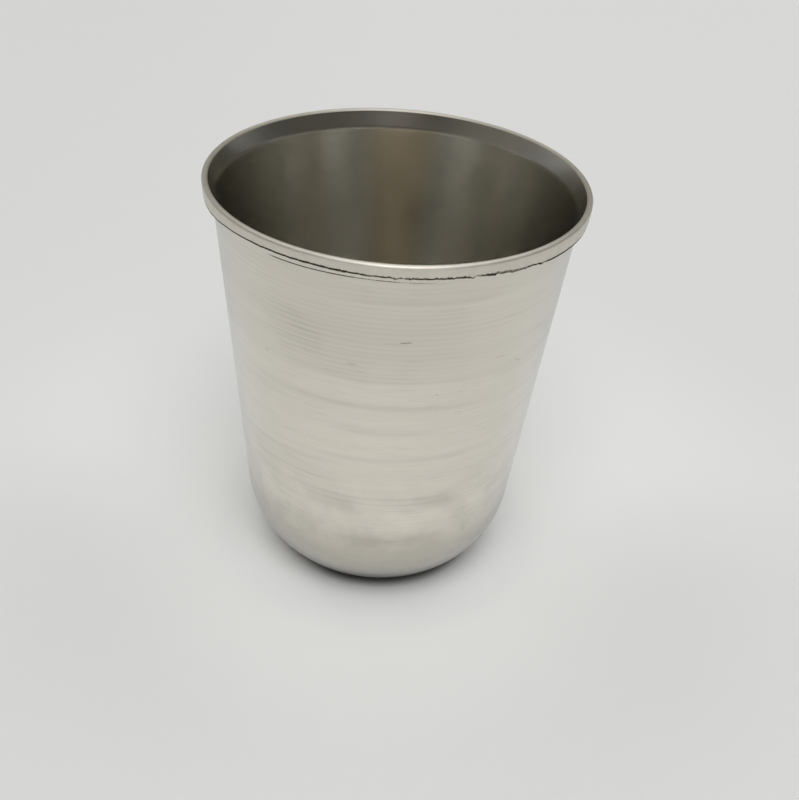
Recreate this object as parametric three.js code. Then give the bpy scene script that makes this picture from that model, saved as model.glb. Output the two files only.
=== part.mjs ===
// Small drawn steel cup with a folded rim.
// Millimetres, +Z up, the origin at the centre of the circle that the cup stands on.
import * as THREE from 'three';

// Overall sizes
const rimDiameter = 50;
const cupHeight = 57.5;
const sheet = 0.36;

// Rim: the lip leans out more than the wall, and its edge is folded outwards and hangs down nearly upright
const lipFlareDeg = 20.5;
const hemLeanDeg = 5;
const hemHeight = 1.7;
const hemGap = 0.1;
const creaseDepth = 2.55;
const creaseRadius = 0.5;

// Wall and bottom corner: a large drawn radius that tightens towards the floor
const wallTaperDeg = 5.6;
const bellyRadius = 14;
const footRadius = 5.5;
const footTurnDeg = 50;

// Underside: a flat ring to stand on, round a shallow raised panel
const standWidth = 2.5;
const panelRise = 0.5;
const panelBendRadius = 1.2;

// Fineness of the facets
const turnSegments = 72;
const bendStepDeg = 12;

// Directions in the half section, where x is the radius and y is the height
const wallTaper = THREE.MathUtils.degToRad(wallTaperDeg);
const lipFlare = THREE.MathUtils.degToRad(lipFlareDeg);
const hemLean = THREE.MathUtils.degToRad(hemLeanDeg);
const footTurn = THREE.MathUtils.degToRad(footTurnDeg);

function direction(angle) {
  return new THREE.Vector2(Math.cos(angle), Math.sin(angle));
}

function along(start, way, distance) {
  return start.clone().addScaledVector(way, distance);
}

// One bend of the sheet, followed on its outer face from one angle to the other.
// The inner face lies nearer the centre of an inward bend, and further from that of an outward one.
function inwardBend(centre, radius, from, to) {
  return { centre, radius, from, to, growth: -1 };
}

function outwardBend(centre, radius, from, to) {
  return { centre, radius, from, to, growth: 1 };
}

// Points along a bend, on the face that lies inset below the sheet's outer face
function bendPoints(bend, inset) {
  const radius = bend.radius + bend.growth * inset;
  const sweep = bend.to - bend.from;
  const steps = Math.ceil(Math.abs(THREE.MathUtils.radToDeg(sweep)) / bendStepDeg);
  const points = [];
  for (let i = 0; i <= steps; i++) {
    points.push(along(bend.centre, direction(bend.from + (sweep * i) / steps), radius));
  }
  return points;
}

// The fold at the top of the rim
const foldRadius = sheet + hemGap / 2;
const foldCentre = new THREE.Vector2(rimDiameter / 2 - foldRadius, cupHeight - foldRadius);
const foldStart = Math.PI - lipFlare;
const foldEnd = -hemLean;

function foldPoint(angle, inset) {
  return along(foldCentre, direction(angle), foldRadius - inset);
}

// The crease where the lip leaves the wall, at its sharp corner on the outer face
function creaseCorner() {
  const lipTop = foldPoint(foldStart, sheet);
  const drop = lipTop.y - (cupHeight - creaseDepth);
  return new THREE.Vector2(lipTop.x - drop * Math.tan(lipFlare), lipTop.y - drop);
}

function creaseBend(corner) {
  const wallNormal = direction(-wallTaper);
  const lipNormal = direction(-lipFlare);
  const reach = creaseRadius / (1 + wallNormal.dot(lipNormal));
  const centre = along(corner, wallNormal.add(lipNormal), reach);
  return outwardBend(centre, creaseRadius, Math.PI - wallTaper, Math.PI - lipFlare);
}

// The corner between wall and floor: the foot's arc rises from the floor and runs into the belly's larger arc
function cornerBends(wallPoint) {
  const turn = direction(-footTurn);
  const bellyHeight = footRadius + (bellyRadius - footRadius) * Math.sin(footTurn);
  const wallReach = bellyRadius + (wallPoint.y - bellyHeight) * Math.sin(wallTaper);
  const belly = new THREE.Vector2(wallPoint.x - wallReach / Math.cos(wallTaper), bellyHeight);
  const foot = along(belly, turn, bellyRadius - footRadius);
  return {
    foot: inwardBend(foot, footRadius, -Math.PI / 2, -footTurn),
    belly: inwardBend(belly, bellyRadius, -footTurn, -wallTaper),
  };
}

// The step from the raised panel down to the standing ring: two equal bends, one after the other
function panelBends(ringInnerRadius) {
  const pair = 2 * panelBendRadius + sheet;
  const turn = Math.acos(1 - panelRise / pair);
  const panelEdge = new THREE.Vector2(ringInnerRadius - pair * Math.sin(turn), panelRise - panelBendRadius);
  const ringEdge = new THREE.Vector2(ringInnerRadius, panelBendRadius + sheet);
  return [
    outwardBend(panelEdge, panelBendRadius, Math.PI / 2, Math.PI / 2 - turn),
    inwardBend(ringEdge, panelBendRadius + sheet, -Math.PI / 2 - turn, -Math.PI / 2),
  ];
}

// Half section of the body: out along its outer face to the top of the lip, and back along its inner face
function bodySection() {
  const corner = creaseCorner();
  const { foot, belly } = cornerBends(corner);
  const bends = [...panelBends(foot.centre.x - standWidth), foot, belly, creaseBend(corner)];
  const face = (inset) => [
    new THREE.Vector2(0, panelRise + inset),
    ...bends.flatMap((bend) => bendPoints(bend, inset)),
    foldPoint(foldStart, sheet - inset),
  ];
  return [...face(0), ...face(sheet).reverse()];
}

// Half section of the hem: down inside the leg to the raw edge, and back up and over on its outer face
function hemSection() {
  const fold = inwardBend(foldCentre, foldRadius, foldStart, foldEnd);
  const legLength = (foldPoint(foldEnd, 0).y - (cupHeight - hemHeight)) / Math.cos(hemLean);
  const legWay = direction(-Math.PI / 2 - hemLean);
  const face = (inset) => [
    ...bendPoints(fold, inset),
    along(foldPoint(foldEnd, inset), legWay, legLength),
  ];
  const outline = [...face(sheet), ...face(0).reverse()];
  return [...outline, outline[0].clone()];
}

const brushedSteel = new THREE.MeshStandardMaterial({ color: 0xb9b6ae, roughness: 0.32, metalness: 1 });
const polishedSteel = new THREE.MeshStandardMaterial({ color: 0xc4c1b9, roughness: 0.2, metalness: 1 });

function turned(name, section, material) {
  const geometry = new THREE.LatheGeometry(section, turnSegments);
  geometry.rotateX(Math.PI / 2);
  const mesh = new THREE.Mesh(geometry, material);
  mesh.name = name;
  return mesh;
}

const cup = new THREE.Group();
cup.name = 'steel_cup';
cup.add(turned('cup_body', bodySection(), brushedSteel));
cup.add(turned('rim_hem', hemSection(), polishedSteel));

export default cup;
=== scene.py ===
"""A small drawn steel cup: its shell and its folded rim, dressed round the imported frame."""

import math

import bpy
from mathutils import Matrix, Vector, noise


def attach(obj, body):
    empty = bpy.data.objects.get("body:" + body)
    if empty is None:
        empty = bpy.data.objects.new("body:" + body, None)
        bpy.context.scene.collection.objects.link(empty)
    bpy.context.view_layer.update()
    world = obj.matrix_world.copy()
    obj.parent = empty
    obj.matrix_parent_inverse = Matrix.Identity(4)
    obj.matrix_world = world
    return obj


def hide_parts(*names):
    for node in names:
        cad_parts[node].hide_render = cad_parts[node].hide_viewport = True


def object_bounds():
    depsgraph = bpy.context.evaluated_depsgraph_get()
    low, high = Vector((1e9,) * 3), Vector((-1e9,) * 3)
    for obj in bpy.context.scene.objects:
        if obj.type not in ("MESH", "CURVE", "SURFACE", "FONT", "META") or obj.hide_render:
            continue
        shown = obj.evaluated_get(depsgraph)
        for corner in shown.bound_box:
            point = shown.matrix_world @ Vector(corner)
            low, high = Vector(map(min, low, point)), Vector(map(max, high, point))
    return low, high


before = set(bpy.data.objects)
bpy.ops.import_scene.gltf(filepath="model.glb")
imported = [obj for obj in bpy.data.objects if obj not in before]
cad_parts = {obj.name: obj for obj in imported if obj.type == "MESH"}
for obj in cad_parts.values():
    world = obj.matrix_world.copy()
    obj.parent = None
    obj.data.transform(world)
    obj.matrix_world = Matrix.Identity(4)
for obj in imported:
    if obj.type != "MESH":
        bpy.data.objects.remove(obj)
cad_low, cad_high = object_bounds()

# Sizes of the pressed sheet, in millimetres and radians
MM = 0.001
RIM_RADIUS = cad_high.x / MM
CUP_HEIGHT = cad_high.z / MM
SHEET = 0.36
LIP_FLARE = math.radians(20.5)
HEM_LEAN = math.radians(5)
HEM_GAP = 0.1
CREASE_DEPTH = 2.55
CREASE_RADIUS = 0.5
INNER_CREASE_RADIUS = 2.6
WALL_TAPER = math.radians(5.6)
BELLY_RADIUS = 14
FOOT_RADIUS = 5.5
FOOT_TURN = math.radians(50)
STAND_WIDTH = 2.5
PANEL_RISE = 0.5
PANEL_BEND = 1.2

# Fineness of the skins: steps in a turn and in a bend
SHELL_TURN = 360
HEM_TURN = 1900
BEND_STEP = math.radians(3)
FOLD_STEP = math.radians(8)
INNER_FOLD_STEP = math.radians(33)

# The outer face's rings lie closest from a little below the crease to just under the hem
CLOSE_BELOW_CREASE = 0.6
CLOSE_ABOVE_CREASE = 1.1
HIDDEN_LIP_PITCH = 0.3

# The fold at the top of the rim
FOLD_RADIUS = SHEET + HEM_GAP / 2
FOLD_CENTRE = (RIM_RADIUS - FOLD_RADIUS, CUP_HEIGHT - FOLD_RADIUS)
FOLD_START = math.pi - LIP_FLARE
FOLD_END = -HEM_LEAN
CREASE_HEIGHT = CUP_HEIGHT - CREASE_DEPTH


# Half sections, as points of radius and height

def out_from(centre, angle, distance):
    return (centre[0] + distance * math.cos(angle), centre[1] + distance * math.sin(angle))


def bend(centre, radius, start, end, step=BEND_STEP):
    count = max(2, math.ceil(abs(end - start) / step))
    return [out_from(centre, start + (end - start) * i / count, radius) for i in range(count + 1)]


def run(start, end, pitch):
    count = max(1, math.ceil(math.dist(start, end) / pitch))
    return [
        tuple(a + (b - a) * i / count for a, b in zip(start, end))
        for i in range(count + 1)
    ]


def joined(*stretches):
    points = []
    for stretch in stretches:
        for point in stretch:
            if not points or math.dist(points[-1], point) > 1e-6:
                points.append(point)
    return points


def crease_corner():
    lip_top = out_from(FOLD_CENTRE, FOLD_START, FOLD_RADIUS - SHEET)
    drop = lip_top[1] - CREASE_HEIGHT
    return (lip_top[0] - drop * math.tan(LIP_FLARE), CREASE_HEIGHT)


def sheet_face(inset, panel_pitch, wall_pitch, lip_pitch):
    """The shell's face that lies inset from its outer one, from the axis to the top of the lip."""
    corner = crease_corner()
    crease_radius = INNER_CREASE_RADIUS if inset else CREASE_RADIUS
    reach = (crease_radius - inset) / math.cos((LIP_FLARE - WALL_TAPER) / 2)
    crease = out_from(corner, -(LIP_FLARE + WALL_TAPER) / 2, reach)
    belly_height = FOOT_RADIUS + (BELLY_RADIUS - FOOT_RADIUS) * math.sin(FOOT_TURN)
    wall_reach = BELLY_RADIUS + (corner[1] - belly_height) * math.sin(WALL_TAPER)
    belly = (corner[0] - wall_reach / math.cos(WALL_TAPER), belly_height)
    foot = out_from(belly, -FOOT_TURN, BELLY_RADIUS - FOOT_RADIUS)
    pair = 2 * PANEL_BEND + SHEET
    turn = math.acos(1 - PANEL_RISE / pair)
    ring_edge = (foot[0] - STAND_WIDTH, PANEL_BEND + SHEET)
    panel_edge = (ring_edge[0] - pair * math.sin(turn), PANEL_RISE - PANEL_BEND)

    quarter = math.pi / 2
    panel_bend = bend(panel_edge, PANEL_BEND + inset, quarter, quarter - turn)
    ring_bend = bend(ring_edge, PANEL_BEND + SHEET - inset, -quarter - turn, -quarter)
    foot_bend = bend(foot, FOOT_RADIUS - inset, -quarter, -FOOT_TURN)
    belly_bend = bend(belly, BELLY_RADIUS - inset, -FOOT_TURN, -WALL_TAPER)
    crease_bend = bend(
        crease, crease_radius, math.pi - WALL_TAPER, math.pi - LIP_FLARE, BEND_STEP / 2
    )
    below_crease = out_from(crease_bend[0], -quarter - WALL_TAPER, CLOSE_BELOW_CREASE)
    under_hem = out_from(crease_bend[-1], quarter - LIP_FLARE, CLOSE_ABOVE_CREASE)
    lip_top = out_from(FOLD_CENTRE, FOLD_START, FOLD_RADIUS - SHEET + inset)
    return joined(
        run((0, PANEL_RISE + inset), panel_bend[0], panel_pitch),
        panel_bend,
        ring_bend,
        run(ring_bend[-1], foot_bend[0], panel_pitch),
        foot_bend,
        belly_bend,
        run(belly_bend[-1], below_crease, wall_pitch),
        run(below_crease, crease_bend[0], lip_pitch),
        crease_bend,
        run(crease_bend[-1], under_hem, lip_pitch),
        run(under_hem, lip_top, HIDDEN_LIP_PITCH),
    )


# What the press and the polisher left round the rim, and the painted shade under its raw edge, by
# bearing: 0 in front, then to the right

def eased(value, low, high):
    t = min(1.0, max(0.0, (value - low) / (high - low)))
    return t * t * (3 - 2 * t)


def turned_by(bearing, centre_deg):
    gap = bearing - math.radians(centre_deg)
    return abs(math.degrees(math.atan2(math.sin(gap), math.cos(gap))))


def stretch_of_rim(bearing, centre_deg, half_deg, fade_deg):
    """1 along a stretch of the rim, fading to 0 at its two ends."""
    return 1 - eased(turned_by(bearing, centre_deg), half_deg - fade_deg, half_deg)


def grain_round(bearing, features, layer):
    """Noise that closes on itself in a turn, with so many features in the turn."""
    reach = features / (2 * math.pi)
    return noise.noise(Vector((reach * math.cos(bearing), reach * math.sin(bearing), layer)))


# The raw edge from the back round by the left to the back again, with a few torn flaps in front:
# bearing in degrees, height, how far its dark band of paste and painted shade reaches up the hem,
# how dark the band is
RAW_EDGE = (
    (-180, 55.9, 0.06, 0.8), (-140, 55.75, 0.15, 0.9), (-105, 55.3, 0.15, 0.7),
    (-75, 55.2, 0.08, 0.8), (-66, 55.35, 0.18, 0.7), (-60, 55.52, 0.16, 0.9),
    (-52, 55.76, 0.15, 1.0), (-43, 55.89, 0.15, 1.0), (-41.5, 55.9, 0.2, 1.0),
    (-30, 55.95, 0.19, 1.0), (-20, 55.98, 0.17, 1.0), (-16, 55.94, 0.19, 0.85),
    (-10, 55.91, 0.13, 1.0), (-5, 55.87, 0.14, 0.6), (-1, 55.83, 0.08, 1.0),
    (3, 55.81, 0.05, 0.6), (6, 55.8, 0.11, 0.9), (18.2, 55.77, 0.14, 1.0),
    (19.2, 55.84, 0.2, 1.0), (19.8, 55.78, 0.06, 1.0), (22, 55.61, 0.05, 1.0),
    (22.4, 55.84, 0.2, 0.4), (24, 55.83, 0.2, 0.4), (24.5, 55.73, 0.06, 1.0),
    (26, 55.66, 0.3, 0.8), (28.3, 55.57, 0.34, 0.8), (28.8, 55.66, 0.34, 0.6),
    (33.5, 55.5, 0.36, 0.58), (38.4, 55.47, 0.26, 0.6), (38.9, 55.54, 0.18, 1.0),
    (43, 55.5, 0.14, 1.0), (44.4, 55.26, 0.22, 1.0), (45.2, 55.4, 0.1, 0.8),
    (48, 55.26, 0.24, 1.0), (57, 55.26, 0.23, 0.95), (67, 55.22, 0.16, 0.85),
    (75, 55.3, 0.06, 0.85), (110, 55.75, 0.1, 0.8), (150, 55.95, 0.2, 1.0),
    (180, 55.9, 0.06, 0.8),
)

# Teeth, curls and burrs of the raw edge: their size in millimetres and their number in a turn
TOOTH = 0.12
COARSE_TEETH = 330
FINE_TEETH = 900
PRESSED_IN = 0.03
CURL = 0.08
CURLS = 260
BURR = 0.22
BURR_SWING = 0.3
BURRS = 700
BURR_SHADE = 0.5


def raw_edge(bearing):
    """The raw edge's height, and its dark band's reach and darkness, at one bearing."""
    turn = math.degrees(math.atan2(math.sin(bearing), math.cos(bearing)))
    for (low, *at_low), (high, *at_high) in zip(RAW_EDGE, RAW_EDGE[1:]):
        if low <= turn <= high:
            share = eased(turn, low, high)
            return [a + (b - a) * share for a, b in zip(at_low, at_high)]
    return RAW_EDGE[-1][1:]


def ragged(bearing):
    """How ragged the raw edge is, from nearly 0 where it was cut clean."""
    return max(
        0.1,
        0.65 * stretch_of_rim(bearing, -19, 25, 9),
        stretch_of_rim(bearing, 20, 27, 8),
        0.8 * stretch_of_rim(bearing, 165, 36, 15),
        0.6 * stretch_of_rim(bearing, -112, 24, 12),
    )


def raw_edge_height(bearing):
    coarse = grain_round(bearing, COARSE_TEETH, layer=1)
    fine = grain_round(bearing, FINE_TEETH, layer=2)
    return raw_edge(bearing)[0] + ragged(bearing) * (TOOTH * coarse + TOOTH * fine)


def raw_edge_curl(bearing):
    """How far the raw edge stands out from the leg, with the clean stretches pressed in."""
    curl = max(0.0, grain_round(bearing, CURLS, layer=4))
    return -PRESSED_IN + ragged(bearing) * CURL * curl


def band_above_edge(bearing, up):
    """The dark band of paste and painted shade, and the burrs with their painted shade, on the
    hem, at a distance up from the raw edge.
    """
    _, reach, dark = raw_edge(bearing)
    band = dark * (1 - eased(up, 0.6 * reach, 1.3 * reach + 0.03))
    tall = BURR + BURR_SWING * grain_round(bearing, BURRS, layer=6)
    burrs = BURR_SHADE * ragged(bearing) * (1 - eased(up, 0.4 * tall, max(0.05, 1.3 * tall)))
    return max(band, burrs)


# Skins

def place_at(bearing, radius, height):
    x, y = radius * math.sin(bearing), -radius * math.cos(bearing)
    return (x * MM, y * MM, max(0.0, height) * MM)


def bearings(count):
    return [2 * math.pi * j / count for j in range(count)]


def skin(name, rings, closed=False, sharp_rings=(), marks=()):
    """A mesh skin from rings of points, each a turn round the axis. One point alone is a pole."""
    starts, points = [], []
    for ring in rings:
        starts.append(len(points))
        points.extend(ring)
    count = max(len(ring) for ring in rings)
    lengths = [0.0]
    for a, b in zip(rings, rings[1:] + rings[:1]):
        lengths.append(lengths[-1] + math.dist(a[0], b[0]))
    span = lengths[-1] if closed else lengths[-2]

    faces, corners_uv, band_of_face = [], [], []
    bands = len(rings) if closed else len(rings) - 1
    for band in range(bands):
        lower, upper = band, (band + 1) % len(rings)
        v0, v1 = lengths[band] / span, lengths[band + 1] / span
        for j in range(count):
            k = (j + 1) % count
            u0, u1 = j / count, (j + 1) / count
            quad = []
            for ring, step, uv in (
                (lower, j, (u0, v0)),
                (lower, k, (u1, v0)),
                (upper, k, (u1, v1)),
                (upper, j, (u0, v1)),
            ):
                pole = len(rings[ring]) == 1
                vertex = starts[ring] + (0 if pole else step)
                if vertex not in [q[0] for q in quad]:
                    quad.append((vertex, uv))
            faces.append([q[0] for q in quad])
            corners_uv.extend(c for q in quad for c in q[1])
            band_of_face.append(band)

    mesh = bpy.data.meshes.new(name)
    mesh.from_pydata(points, [], faces)
    mesh.uv_layers.new(name="OFBake").data.foreach_set("uv", corners_uv)
    mesh.polygons.foreach_set("use_smooth", [True] * len(faces))
    for mark, values in marks:
        mesh.attributes.new(mark, "FLOAT", "POINT").data.foreach_set("value", values)
    sharp = [starts[ring] for ring in sharp_rings]
    for edge in mesh.edges:
        low, high = edge.vertices
        if any(s <= low < s + count and s <= high < s + count for s in sharp):
            edge.use_edge_sharp = True
    piece = bpy.data.objects.new(name, mesh)
    bpy.context.scene.collection.objects.link(piece)
    return piece, band_of_face


# Shell

WALL_WAVE = 0.006
WAVES_ROUND = 1.6
WAVE_RISE = 7
CREASE_GROOVE = 0.03
GROOVE_WIDTH = 0.05
PASTE_AND_SHADE_BELOW_EDGE = 0.53
LIP_MARKS_FROM = CREASE_HEIGHT - 0.5


def crease_line(bearing):
    """How strongly the polisher's line shows in the crease."""
    breaks = 0.85 + 0.3 * grain_round(bearing, 26, layer=7)
    return breaks * max(
        stretch_of_rim(bearing, -23, 17, 6),
        0.75 * stretch_of_rim(bearing, -8, 16, 8),
        0.5 * stretch_of_rim(bearing, 3, 13, 6),
        0.6 * stretch_of_rim(bearing, 120, 34, 16),
        0.5 * stretch_of_rim(bearing, -150, 26, 14),
    )


def crease_line_height(bearing):
    return CREASE_HEIGHT - 0.07 - 0.25 * eased(turned_by(bearing, -10), 0, 40)


def lip_paste_and_shade(bearing, height):
    """Polishing paste left on the lip behind the raw edge, with painted shade of the gap under the
    edge, and paste in the crease.
    """
    _, _, dark = raw_edge(bearing)
    lowest = raw_edge_height(bearing) - PASTE_AND_SHADE_BELOW_EDGE
    below_edge = dark * eased(height, lowest - 0.04, lowest + 0.04)
    off_line = abs(height - crease_line_height(bearing))
    in_crease = (1 - eased(off_line, 0.04, 0.1)) * crease_line(bearing)
    return max(below_edge, min(1.0, in_crease))


def wall_wave(bearing, height):
    """The faint unevenness of a drawn wall."""
    round_wall = (WAVES_ROUND * math.cos(bearing), WAVES_ROUND * math.sin(bearing))
    fade = eased(height, 6, 16) * (1 - eased(height, CREASE_HEIGHT - 3, LIP_MARKS_FROM))
    return WALL_WAVE * fade * noise.noise(Vector((*round_wall, height / WAVE_RISE)))


def make_shell():
    outer = sheet_face(0, panel_pitch=1.1, wall_pitch=1.1, lip_pitch=0.04)
    inner = sheet_face(SHEET, panel_pitch=1.4, wall_pitch=1.5, lip_pitch=0.3)
    rings, paste_and_shade_mask = [], []
    for face, points in (("outer", outer), ("inner", inner[::-1])):
        for radius, height in points:
            if radius < 1e-6:
                rings.append([(0.0, 0.0, height * MM)])
                paste_and_shade_mask.append(0.0)
                continue
            ring = []
            for bearing in bearings(SHELL_TURN):
                give = wall_wave(bearing, height)
                if face == "outer":
                    off_line = (height - crease_line_height(bearing)) / GROOVE_WIDTH
                    give -= CREASE_GROOVE * math.exp(-(off_line ** 2)) * crease_line(bearing)
                ring.append(place_at(bearing, radius + give, height))
                on_lip = face == "outer" and height > LIP_MARKS_FROM
                paste_and_shade_mask.append(lip_paste_and_shade(bearing, height) if on_lip else 0.0)
            rings.append(ring)
    lip_rings = (len(outer) - 1, len(outer))
    shell, band_of_face = skin(
        "drawn_shell", rings, sharp_rings=lip_rings, marks=[("paste_and_shade_mask", paste_and_shade_mask)]
    )
    inside = [1 if band >= len(outer) - 1 else 0 for band in band_of_face]
    shell.data.polygons.foreach_set("material_index", inside)
    return shell


# Hem

NOSE_DEPTH = 0.12
NOSE_STEPS = 8
CURL_LENGTH = 0.6
LEG_INSIDE_STEPS = 3
LEG_STEPS = 12
LEG_CROWDING = 1.8


def hem_section(bearing):
    """The hem's outline at one bearing, with how dark the paste and the painted shade are at each
    point.
    """
    edge_height, curl = raw_edge_height(bearing), raw_edge_curl(bearing)
    way = (-math.sin(HEM_LEAN), -math.cos(HEM_LEAN))
    across = (math.cos(HEM_LEAN), -math.sin(HEM_LEAN))
    leg_top = out_from(FOLD_CENTRE, FOLD_END, FOLD_RADIUS - SHEET / 2)
    leg = (leg_top[1] - edge_height) / math.cos(HEM_LEAN)

    def on_leg(down, side):
        lean = curl * eased(down, leg - CURL_LENGTH, leg)
        return tuple(leg_top[i] + way[i] * down + across[i] * (side + lean) for i in (0, 1))

    half = SHEET / 2
    straight = leg - NOSE_DEPTH
    under_fold = bend(FOLD_CENTRE, HEM_GAP / 2, FOLD_START, FOLD_END, INNER_FOLD_STEP)
    points = [(point, 0.0) for point in under_fold]
    for i in range(1, LEG_INSIDE_STEPS + 1):
        points.append((on_leg(straight * i / LEG_INSIDE_STEPS, -half), 0.0))
    for i in range(1, NOSE_STEPS):
        angle = math.pi * (1 - i / NOSE_STEPS)
        down = straight + NOSE_DEPTH * math.sin(angle)
        points.append((on_leg(down, half * math.cos(angle)), band_above_edge(bearing, 0)))
    for i in range(LEG_STEPS):
        down = straight * (1 - (i / LEG_STEPS) ** LEG_CROWDING)
        points.append((on_leg(down, half), band_above_edge(bearing, straight - down)))
    over_fold = bend(FOLD_CENTRE, FOLD_RADIUS, FOLD_END, FOLD_START, FOLD_STEP)
    return points + [(point, 0.0) for point in over_fold]


def make_hem():
    sections = [hem_section(bearing) for bearing in bearings(HEM_TURN)]
    rings, paste_and_shade_mask = [], []
    for row in range(len(sections[0])):
        ring = []
        for bearing, section in zip(bearings(HEM_TURN), sections):
            (radius, height), paste = section[row]
            ring.append(place_at(bearing, radius, height))
            paste_and_shade_mask.append(paste)
        rings.append(ring)
    end_rings = (0, len(rings) - 1)
    hem, _ = skin(
        "folded_hem", rings, closed=True, sharp_rings=end_rings, marks=[("paste_and_shade_mask", paste_and_shade_mask)]
    )
    return hem


# Node trees

class Bench:
    """A node tree with short ways to place its nodes and wire them up."""

    def __init__(self, tree):
        self.tree = tree

    def node(self, kind, **settings):
        placed = self.tree.nodes.new(kind)
        for setting, value in settings.items():
            setattr(placed, setting, value)
        return placed

    def wire(self, source, socket):
        if isinstance(source, bpy.types.NodeSocket):
            self.tree.links.new(source, socket)
        else:
            socket.default_value = source

    def wired(self, placed, **values):
        """A placed node with values given to its inputs, by their names with _ for a space."""
        for name, value in values.items():
            self.wire(value, placed.inputs[name.replace("_", " ")])
        return placed

    def math(self, operation, *values, clamp=False):
        placed = self.node("ShaderNodeMath", operation=operation, use_clamp=clamp)
        for value, socket in zip(values, placed.inputs):
            self.wire(value, socket)
        return placed.outputs[0]

    def times(self, first, second):
        return self.math("MULTIPLY", first, second)

    def vector(self, operation, *values):
        placed = self.node("ShaderNodeVectorMath", operation=operation)
        for value, socket in zip(values, placed.inputs):
            self.wire(value, socket)
        return placed.outputs["Value" if operation == "DOT_PRODUCT" else "Vector"]

    def scaled(self, vector, factor):
        """A place or a colour, times a factor."""
        placed = self.node("ShaderNodeVectorMath", operation="SCALE")
        self.wire(vector, placed.inputs[0])
        return self.wired(placed, Scale=factor).outputs["Vector"]

    def parts(self, vector):
        placed = self.node("ShaderNodeSeparateXYZ")
        self.wire(vector, placed.inputs[0])
        return placed.outputs

    def whole(self, x, y, z):
        return self.wired(self.node("ShaderNodeCombineXYZ"), X=x, Y=y, Z=z).outputs[0]

    def off_axis(self, x, y):
        return self.math("SQRT", self.math("ADD", self.times(x, x), self.times(y, y)))

    def ramp(self, value, low, high, to_low=0.0, to_high=1.0):
        placed = self.node("ShaderNodeMapRange", interpolation_type="SMOOTHSTEP")
        self.wired(placed, Value=value, From_Min=low, From_Max=high)
        return self.wired(placed, To_Min=to_low, To_Max=to_high).outputs["Result"]

    def grain(self, vector, scale, detail, roughness):
        placed = self.node("ShaderNodeTexNoise", noise_dimensions="3D")
        self.wired(placed, Vector=vector, Scale=scale, Detail=detail, Roughness=roughness)
        return placed.outputs[0]

    def blend(self, factor, first, second):
        placed = self.node("ShaderNodeMix", data_type="RGBA")
        for value, index in ((factor, 0), (first, 6), (second, 7)):
            self.wire(value, placed.inputs[index])
        return placed.outputs[2]

    def use(self, group, **values):
        placed = self.node("ShaderNodeGroup", node_tree=group)
        return self.wired(placed, **values).outputs[0]

    def place_in_mm(self):
        here = self.node("ShaderNodeTexCoord").outputs["Object"]
        return self.vector("MULTIPLY", here, (1 / MM,) * 3)

    def mark(self, name):
        return self.node("ShaderNodeAttribute", attribute_name=name).outputs["Fac"]

    def changed(self, value, mark, amount):
        """A tone or roughness, changed by an amount where a mark is."""
        return self.math("MULTIPLY_ADD", mark, amount, value)

    def varied(self, tone, grain, strength):
        """A tone made lighter and darker by a grain that runs from 0 to 1."""
        return self.times(tone, self.changed(1 - strength / 2, grain, strength))


def effect(name, inputs, output):
    """An empty node group with these inputs and one output, its bench and its inputs' sockets."""
    tree = bpy.data.node_groups.new(name, "ShaderNodeTree")
    for socket_name in inputs:
        kind = "NodeSocketVector" if socket_name == "Place" else "NodeSocketFloat"
        tree.interface.new_socket(name=socket_name, in_out="INPUT", socket_type=kind)
    tree.interface.new_socket(name=output, in_out="OUTPUT", socket_type="NodeSocketFloat")
    bench = Bench(tree)
    given = bench.node("NodeGroupInput").outputs
    end = bench.node("NodeGroupOutput").inputs[0]
    return tree, bench, given, end


def spun_lines():
    """Fine lines round the cup, as a polishing wheel leaves them."""
    tree, b, given, end = effect("spun lines", ("Place", "Lines per mm", "Length"), "Lines")
    x, y, z = b.parts(given["Place"])
    stretched = b.whole(
        b.math("DIVIDE", x, given["Length"]),
        b.math("DIVIDE", y, given["Length"]),
        b.times(z, given["Lines per mm"]),
    )
    b.wire(b.grain(stretched, 1.0, 3.0, 0.6), end)
    return tree


def ring_mark():
    """One streak, patch or scratch that runs round the wall for a short way."""
    names = ("Place", "Height", "Breadth", "Bearing", "Half length", "Slant")
    tree, b, given, end = effect("ring mark", names, "Mark")
    x, y, z = b.parts(given["Place"])
    turn = b.math("RADIANS", given["Bearing"])
    cos, sin = b.math("COSINE", turn), b.math("SINE", turn)
    along = b.math("ADD", b.times(x, cos), b.times(y, sin))
    facing = b.math("SUBTRACT", b.times(x, sin), b.times(y, cos))
    line = b.math("ADD", given["Height"], b.times(along, given["Slant"]))
    off = b.math("DIVIDE", b.math("SUBTRACT", z, line), given["Breadth"])
    core = b.math("POWER", math.e, b.times(b.times(off, off), -1.0))
    share = b.math("DIVIDE", b.math("ABSOLUTE", along), given["Half length"])
    ends = b.ramp(share, 0.3, 1.0, 1.0, 0.0)
    on_this_side = b.math("GREATER_THAN", facing, 0.0)
    b.wire(b.times(b.times(core, ends), on_this_side), end)
    return tree


def smudges():
    """Cloudy handling marks."""
    tree, b, given, end = effect("smudges", ("Place", "Size"), "Cloud")
    sized = b.scaled(given["Place"], b.math("DIVIDE", 1.0, given["Size"]))
    b.wire(b.ramp(b.grain(sized, 1.0, 2.5, 0.55), 0.35, 0.65), end)
    return tree


def speckled_paste_and_shade():
    """Dark polishing paste and painted shade, broken up where the paste has been rubbed off."""
    tree, b, given, end = effect("stuck residue", ("Place", "Residue"), "Paste_and_shade")
    speckle = b.math("SUBTRACT", b.grain(given["Place"], 5.0, 3.0, 0.65), 0.5)
    b.wire(b.ramp(b.math("ADD", given["Residue"], b.times(speckle, 0.9)), 0.2, 0.8), end)
    return tree


SPUN_LINES = spun_lines()
RING_MARK = ring_mark()
SMUDGES = smudges()
SPECKLED_PASTE_AND_SHADE = speckled_paste_and_shade()


# Steel

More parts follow.
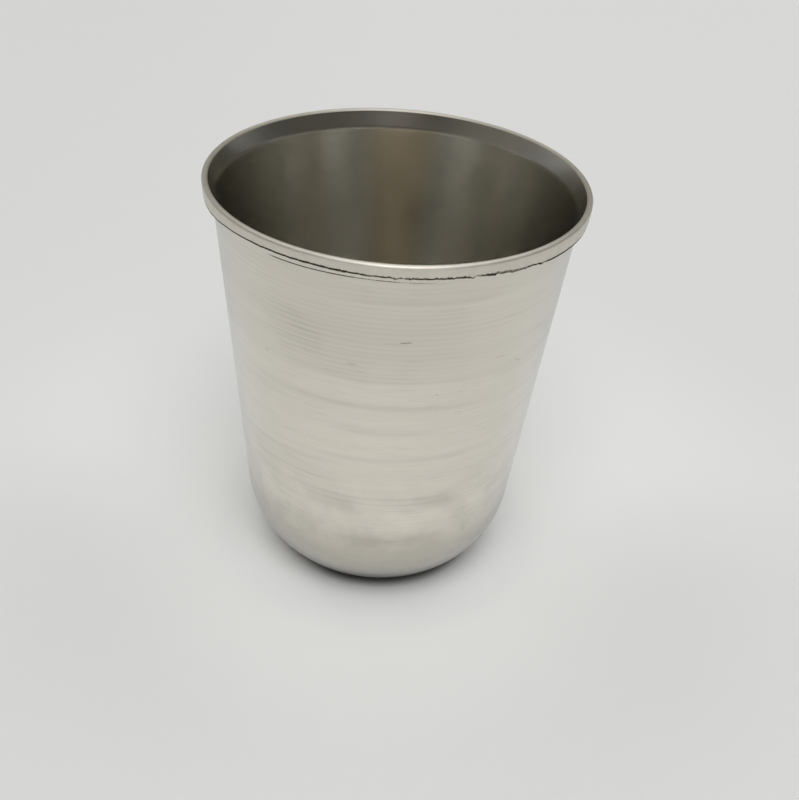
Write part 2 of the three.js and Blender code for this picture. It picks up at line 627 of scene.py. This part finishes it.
# Tints of the steel, seen square on and along its face, and of what is on it; the paste's tint
# also paints the shade under the raw edge
STEEL_TINT = (1.0, 0.951, 0.846)
GRAZING_TINT = (0.88, 0.912, 0.968, 1)
WHITE = (1.0, 1.0, 1.0, 1)
INSIDE_BROWN = (1.0, 0.93, 0.82, 1)
INSIDE_OLIVE = (0.99, 0.965, 0.87, 1)
INSIDE_PLAIN = (0.965, 0.985, 0.985, 1)
PASTE_AND_SHADE_TINT = (0.09, 0.08, 0.058, 1)
SCRATCH_SHADE = (0.1, 0.09, 0.075, 1)

# Marks on the wall, each with its height, breadth, bearing, half length and slant.
# Streaks of the polishing wheel
STREAKS = (
    (36.2, 0.45, -12, 15, 0.0),
    (36.0, 0.3, 18, 9, -0.02),
    (32.1, 0.5, 2, 8, 0.0),
    (27.6, 0.5, 8, 17, 0.03),
    (25.6, 0.4, -36, 11, 0.06),
    (22.6, 0.25, -38, 12, 0.05),
    (20.6, 0.22, -4, 17, 0.0),
    (19.6, 0.18, 3, 15, 0.0),
    (52.0, 0.3, 12, 14, 0.01),
    (54.3, 0.12, -34, 2.4, 0.0),
    (30.0, 0.5, 150, 14, 0.02),
    (38.5, 0.4, -140, 15, -0.02),
)
# Duller patches of the upper wall
WORN_PATCHES = (
    (47.0, 7.5, -7, 17, 0.0),
    (46.0, 8.0, 135, 16, 0.0),
    (48.0, 7.0, -125, 14, 0.0),
)
# Where the coarser wheel's even lines show
RIBBED_PATCHES = (
    (47.0, 6.0, -3, 19, 0.0),
    (47.0, 6.0, 130, 18, 0.0),
    (46.0, 6.0, -118, 18, 0.0),
)
# Lighter and darker handling marks of the lower wall
RUBBED_PATCHES = (
    (15.6, 1.7, 5, 6, 0.0),
    (28.5, 5.0, 2, 30, 0.0),
)
GREASY_PATCHES = (
    (18.6, 1.5, -17, 5, 0.1),
    (20.0, 1.2, 23, 4.5, -0.1),
    (12.6, 1.0, 4, 9, 0.0),
)
# The deep scratch, and the fainter ones
DEEP_SCRATCH = (
    (46.38, 0.055, 5.6, 0.95, 0.08),
)
FAINT_SCRATCHES = (
    (46.2, 0.06, 2.0, 1.8, 0.04),
    (42.57, 0.1, -10.3, 0.9, -0.05),
    (43.6, 0.05, 8.8, 1.5, 0.0),
    (42.3, 0.08, 38.6, 1.2, -0.1),
    (40.4, 0.12, 48, 0.7, -0.5),
    (40.4, 0.12, -41.7, 0.5, 0.1),
    (38.3, 0.13, 17.2, 0.25, 0.0),
    (33.0, 0.07, 128, 2.6, 0.12),
    (44.0, 0.09, -120, 1.8, -0.2),
)

# The outside's tone, and how much each mark lightens or darkens it
SATIN_TONE = 0.812
UPPER_WALL_TONE = -0.014
BELOW_LIP_TONE = -0.03
WORN_TONE = -0.055
RIB_TONE = -0.11
DASH_TONE = -0.06
SMUDGE_TONE = 0.08
RUBBED_TONE = 0.04
GREASY_TONE = -0.07
STREAK_TONE = -0.13
FAINT_SCRATCH_SHARE = 0.22

# Distance between the coarser wheel's lines, and how far they wander
EVEN_LINE_PITCH = 0.72
EVEN_LINE_WANDER = 5.0

# Depth of the polishing lines, in millimetres
SATIN_LINE_DEPTH = 0.002
INSIDE_LINE_DEPTH = 0.0006
RIM_LINE_DEPTH = 0.0015

PASTE_ROUGHNESS = 0.3


def steel(name, anisotropy, grazing_tint=WHITE):
    """A metal material with its highlights drawn out across the polishing lines."""
    material = bpy.data.materials.new(name)
    material.use_nodes = True
    shader = material.node_tree.nodes["Principled BSDF"]
    shader.inputs["Metallic"].default_value = 1.0
    shader.inputs["Anisotropic"].default_value = anisotropy
    shader.inputs["Anisotropic Rotation"].default_value = 0.25
    shader.inputs["Specular Tint"].default_value = grazing_tint
    bench = Bench(material.node_tree)
    tangent = bench.node("ShaderNodeTangent", direction_type="RADIAL", axis="Z")
    bench.wire(tangent.outputs[0], shader.inputs["Tangent"])
    return material, bench, shader


def raise_lines(b, shader, height, depth_mm):
    bump = b.node("ShaderNodeBump")
    bump.inputs["Distance"].default_value = depth_mm * MM
    b.wire(height, bump.inputs["Height"])
    b.wire(bump.outputs["Normal"], shader.inputs["Normal"])


def marks_of(b, place, table):
    total = 0.0
    for height, breadth, bearing, half_length, slant in table:
        one = b.use(
            RING_MARK, Place=place, Height=height, Breadth=breadth,
            Bearing=bearing, Half_length=half_length, Slant=slant,
        )
        total = b.math("ADD", total, one, clamp=True)
    return total


def satin_outside():
    material, b, shader = steel("satin_drawn_steel", 0.55, GRAZING_TINT)
    place = b.place_in_mm()
    x, y, height = b.parts(place)
    fine = b.use(SPUN_LINES, Place=place, Lines_per_mm=5.0, Length=24.0)
    broad = b.use(SPUN_LINES, Place=place, Lines_per_mm=0.7, Length=60.0)
    cloud = b.use(SMUDGES, Place=place, Size=4.2)

    # The upper third was polished last, with a coarser wheel that left even lines
    upper = b.ramp(height, 39.6, 40.4)
    worn = b.times(upper, marks_of(b, place, WORN_PATCHES))
    course = b.times(height, 2 * math.pi / EVEN_LINE_PITCH)
    wave = b.math("SINE", b.changed(course, broad, EVEN_LINE_WANDER))
    even_lines = b.times(b.math("MULTIPLY_ADD", wave, 0.5, 0.5), upper)

    # Broken lines all over the wall, more in some places than in others
    dashes = b.ramp(b.use(SPUN_LINES, Place=place, Lines_per_mm=2.2, Length=4.5), 0.5, 0.72)
    hairs = b.ramp(b.use(SPUN_LINES, Place=place, Lines_per_mm=4.5, Length=9.0), 0.52, 0.7)
    where = b.ramp(b.use(SMUDGES, Place=place, Size=9.0), 0.2, 0.9, 0.35, 1.0)
    broken = b.times(b.changed(hairs, dashes, 0.6), where)
    ribbed = b.times(even_lines, b.times(where, marks_of(b, place, RIBBED_PATCHES)))

    # Painted shade: the corner is darker towards the bottom, standing in for the shaded floor it
    # reflects, and darkest where it turns under outside the standing ring, less so at the left,
    # standing in for the contact shadow
    painted_foot_shade = b.ramp(height, 8.0, 18.0, 0.72, 1.0)
    painted_contact_shade = b.times(
        b.ramp(height, 0.8, 6.0, 0.7, 0.0), b.ramp(b.off_axis(x, y), 10.8, 12.6)
    )
    painted_contact_shade = b.times(painted_contact_shade, b.ramp(x, -13, -5, 0.4, 1.0))
    corner = b.times(painted_foot_shade, b.math("SUBTRACT", 1.0, painted_contact_shade))
    foot = b.times(b.ramp(height, 8, 13), b.ramp(height, 19, 26, 1.0, 0.0))
    handled = b.times(b.math("SUBTRACT", cloud, 0.45), foot)

    tone = b.changed(SATIN_TONE, upper, UPPER_WALL_TONE)
    tone = b.changed(tone, b.ramp(height, 49, 54), BELOW_LIP_TONE)
    tone = b.times(b.changed(tone, worn, WORN_TONE), corner)
    tone = b.varied(b.varied(tone, broad, 0.1), fine, 0.08)
    for mark, amount in (
        (ribbed, RIB_TONE),
        (broken, DASH_TONE),
        (handled, SMUDGE_TONE),
        (marks_of(b, place, RUBBED_PATCHES), RUBBED_TONE),
        (marks_of(b, place, GREASY_PATCHES), GREASY_TONE),
        (b.times(marks_of(b, place, STREAKS), fine), STREAK_TONE),
    ):
        tone = b.changed(tone, mark, amount)

    faint = b.times(marks_of(b, place, FAINT_SCRATCHES), FAINT_SCRATCH_SHARE)
    scratches = b.math("MAXIMUM", marks_of(b, place, DEEP_SCRATCH), faint)
    colour = b.blend(scratches, b.scaled(STEEL_TINT, tone), SCRATCH_SHADE)
    # Paste, with painted shade of the gap under the raw edge, darkens the colour
    paste = b.use(SPECKLED_PASTE_AND_SHADE, Place=place, Residue=b.mark("paste_and_shade_mask"))
    b.wire(b.blend(paste, colour, PASTE_AND_SHADE_TINT), shader.inputs["Base Color"])

    rough = b.changed(b.changed(0.24, fine, 0.1), upper, 0.04)
    rough = b.changed(rough, b.times(cloud, foot), 0.05)
    b.wire(b.changed(rough, paste, PASTE_ROUGHNESS), shader.inputs["Roughness"])
    lines = b.changed(fine, even_lines, 0.6)
    raise_lines(b, shader, b.math("SUBTRACT", lines, scratches), SATIN_LINE_DEPTH)
    return material


def bright_inside():
    material, b, shader = steel("bright_drawn_steel", 0.5)
    place = b.place_in_mm()
    fine = b.use(SPUN_LINES, Place=place, Lines_per_mm=4.0, Length=30.0)
    cloud = b.use(SMUDGES, Place=place, Size=7.0)

    # Soft upright bands, as the drawing of the sheet leaves them
    x, y, height = b.parts(place)
    way = b.vector("NORMALIZE", b.whole(x, y, 0.0))
    sideways = b.math("ABSOLUTE", b.parts(way)[0])
    band_place = b.vector("ADD", way, b.whole(0.0, 0.0, b.math("DIVIDE", height, 150.0)))
    bands = b.ramp(b.grain(band_place, 3.2, 2.0, 0.5), 0.3, 0.7)

    # Painted light and shade: lighter and plainer in tint at the sides, and darker towards the
    # bottom and on the flared lip
    lip = b.ramp(height, CREASE_HEIGHT - 0.4, CREASE_HEIGHT + 0.4, 1.0, 0.93)
    tone = b.times(b.ramp(sideways, 0.2, 0.85, 0.785, 0.885), b.ramp(height, 28, 50, 0.86, 1.0))
    tone = b.varied(b.varied(tone, fine, 0.05), cloud, 0.04)
    tone = b.varied(b.times(tone, lip), bands, 0.06)
    middle = b.blend(bands, INSIDE_OLIVE, INSIDE_BROWN)
    colour = b.blend(b.ramp(sideways, 0.5, 0.95), middle, INSIDE_PLAIN)
    b.wire(b.scaled(colour, tone), shader.inputs["Base Color"])

    rough = b.ramp(height, CREASE_HEIGHT - 0.6, CREASE_HEIGHT, 0.14, 0.16)
    rough = b.changed(b.changed(rough, fine, 0.06), cloud, 0.02)
    b.wire(rough, shader.inputs["Roughness"])
    raise_lines(b, shader, fine, INSIDE_LINE_DEPTH)
    return material


def folded_rim():
    material, b, shader = steel("folded_rim_steel", 0.4, GRAZING_TINT)
    place = b.place_in_mm()
    depth = b.parts(place)[1]
    fine = b.use(SPUN_LINES, Place=place, Lines_per_mm=7.0, Length=12.0)
    cloud = b.use(SMUDGES, Place=place, Size=1.6)
    # Paste, with painted shade of the gap under the raw edge, darkens the colour
    paste = b.use(SPECKLED_PASTE_AND_SHADE, Place=place, Residue=b.mark("paste_and_shade_mask"))

    # Painted shade: the back of the rim is toned darker than its front, dimming the highlight on
    # its crest; it is a little rougher there too
    tone = b.varied(b.varied(b.ramp(depth, -2, 20, 0.77, 0.66), fine, 0.1), cloud, 0.05)
    colour = b.blend(paste, b.scaled(STEEL_TINT, tone), PASTE_AND_SHADE_TINT)
    b.wire(colour, shader.inputs["Base Color"])
    rough = b.changed(b.ramp(depth, -5, 22, 0.48, 0.56), fine, 0.12)
    b.wire(b.changed(rough, paste, PASTE_ROUGHNESS), shader.inputs["Roughness"])
    raise_lines(b, shader, fine, RIM_LINE_DEPTH)
    return material


# Stage

FLOOR_RADIUS = 4.0
FLOOR_SIDES = 96
FLOOR_DROP = 0.00002
FLOOR_SHADES = ((0.86, 0.868, 0.866, 1), (0.88, 0.888, 0.886, 1))


def pale_table():
    """A pale floor with painted light and shadow: a little lighter near and behind the cup, a
    little darker towards the left, and a painted contact shadow right under its foot.
    """
    material = bpy.data.materials.new("pale_table")
    material.use_nodes = True
    b = Bench(material.node_tree)
    shader = material.node_tree.nodes["Principled BSDF"]
    here = b.node("ShaderNodeTexCoord").outputs["Object"]
    plain = b.blend(b.grain(here, 3.0, 2.0, 0.5), *FLOOR_SHADES)
    x, y, _ = b.parts(here)
    away = b.off_axis(x, y)
    # Painted shade: the floor is a little darker towards the left
    left = b.ramp(x, -0.12, 0.0, 0.97, 1.0)
    # Painted light: a little lighter behind the cup
    behind = b.times(b.ramp(y, -0.01, 0.02), b.ramp(away, 0.03, 0.1, 0.08, 0.0))
    # Painted contact shadow right under the foot, lighter towards the left, with painted light
    # just outside it
    painted_shadow_tone = b.ramp(x, -0.012, -0.004, 0.75, 0.25)
    painted_contact_shadow = b.ramp(away, 0.0132, 0.0155, painted_shadow_tone, 1.0)
    painted_light_and_shadow_near_cup = b.times(b.ramp(away, 0.016, 0.024, 1.1, 1.0), painted_contact_shadow)
    tone = b.times(b.times(left, b.math("ADD", behind, 1.0)), painted_light_and_shadow_near_cup)
    b.wire(b.scaled(plain, tone), shader.inputs["Base Color"])
    shader.inputs["Roughness"].default_value = 0.85
    shader.inputs["Specular IOR Level"].default_value = 0.2
    return material


def make_floor():
    edge = [
        (FLOOR_RADIUS * math.cos(turn), FLOOR_RADIUS * math.sin(turn), 0)
        for turn in bearings(FLOOR_SIDES)
    ]
    mesh = bpy.data.meshes.new("floor")
    mesh.from_pydata(edge, [], [list(range(FLOOR_SIDES))])
    mesh.materials.append(pale_table())
    floor = bpy.data.objects.new("floor", mesh)
    floor.location.z = -FLOOR_DROP
    bpy.context.scene.collection.objects.link(floor)


ROOM_FRONT = 0.066
ROOM_BACK = 0.2
ROOM_TINT = (1.0, 0.966, 0.87, 1)
KEY_GLOW = 3.6
KEY_WAY = Vector((0.04, -0.48, 0.87)).normalized()
KEY_EDGE = math.cos(math.radians(27))
KEY_FULL = math.cos(math.radians(15))
FILL_GLOW = 1.26
LEFT_GLOW = 0.09


def light_studio():
    """A dim, warm room with a soft white light above the camera, a softer one high round the back
    and the sides, and a faint glow low at the left."""
    world = bpy.data.worlds.new("studio")
    bpy.context.scene.world = world
    world.use_nodes = True
    b = Bench(world.node_tree)
    way = b.node("ShaderNodeTexCoord").outputs["Generated"]
    across, depth, rise = b.parts(way)
    key = b.ramp(b.vector("DOT_PRODUCT", way, KEY_WAY), KEY_EDGE, KEY_FULL, 0.0, KEY_GLOW)

    # The softer light starts a little higher in the middle than at the sides
    middle_rise = b.ramp(b.math("ABSOLUTE", across), 0.15, 0.45, 0.1, 0.0)
    start = b.ramp(b.math("SUBTRACT", rise, middle_rise), 0.61, 0.77, 0.0, FILL_GLOW)
    raised = b.times(start, b.ramp(rise, 0.85, 1.0, 1.0, 0.0))
    fill = b.times(raised, b.ramp(depth, -0.22, -0.03))

    room = b.ramp(depth, -0.1, 0.7, ROOM_FRONT, ROOM_BACK)
    at_left = b.ramp(across, -0.25, -0.75, 0.0, LEFT_GLOW)
    dim = b.math("ADD", room, b.times(at_left, b.ramp(rise, 0.3, 0.5, 1.0, 0.0)))
    glow = b.math("ADD", b.math("ADD", key, fill), dim)
    background = world.node_tree.nodes["Background"]
    b.wire(b.blend(b.math("DIVIDE", dim, glow), WHITE, ROOM_TINT), background.inputs["Color"])
    b.wire(glow, background.inputs["Strength"])


PICTURE_WIDTH = 799
FOCAL_PIXELS = 1139
CAMERA_PLACE = (0.0, -0.13712, 0.11564)
CAMERA_TURN = (55.846, -3.7263, 1.5358)


def set_camera():
    data = bpy.data.cameras.new("camera")
    data.sensor_fit = "HORIZONTAL"
    data.sensor_width = 36
    data.lens = data.sensor_width * FOCAL_PIXELS / PICTURE_WIDTH
    data.clip_start = 0.01
    camera = bpy.data.objects.new("camera", data)
    camera.location = CAMERA_PLACE
    camera.rotation_euler = [math.radians(turn) for turn in CAMERA_TURN]
    bpy.context.scene.collection.objects.link(camera)
    bpy.context.scene.camera = camera


# Assembly

shell = make_shell()
shell.data.materials.append(satin_outside())
shell.data.materials.append(bright_inside())
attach(shell, "root")
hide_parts("cup_body")

hem = make_hem()
hem.data.materials.append(folded_rim())
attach(hem, "root")
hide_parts("rim_hem")

make_floor()
light_studio()
set_camera()
scene = bpy.context.scene
scene.view_settings.view_transform = "Standard"
scene.cycles.glossy_bounces = 10
scene.cycles.blur_glossy = 0.0
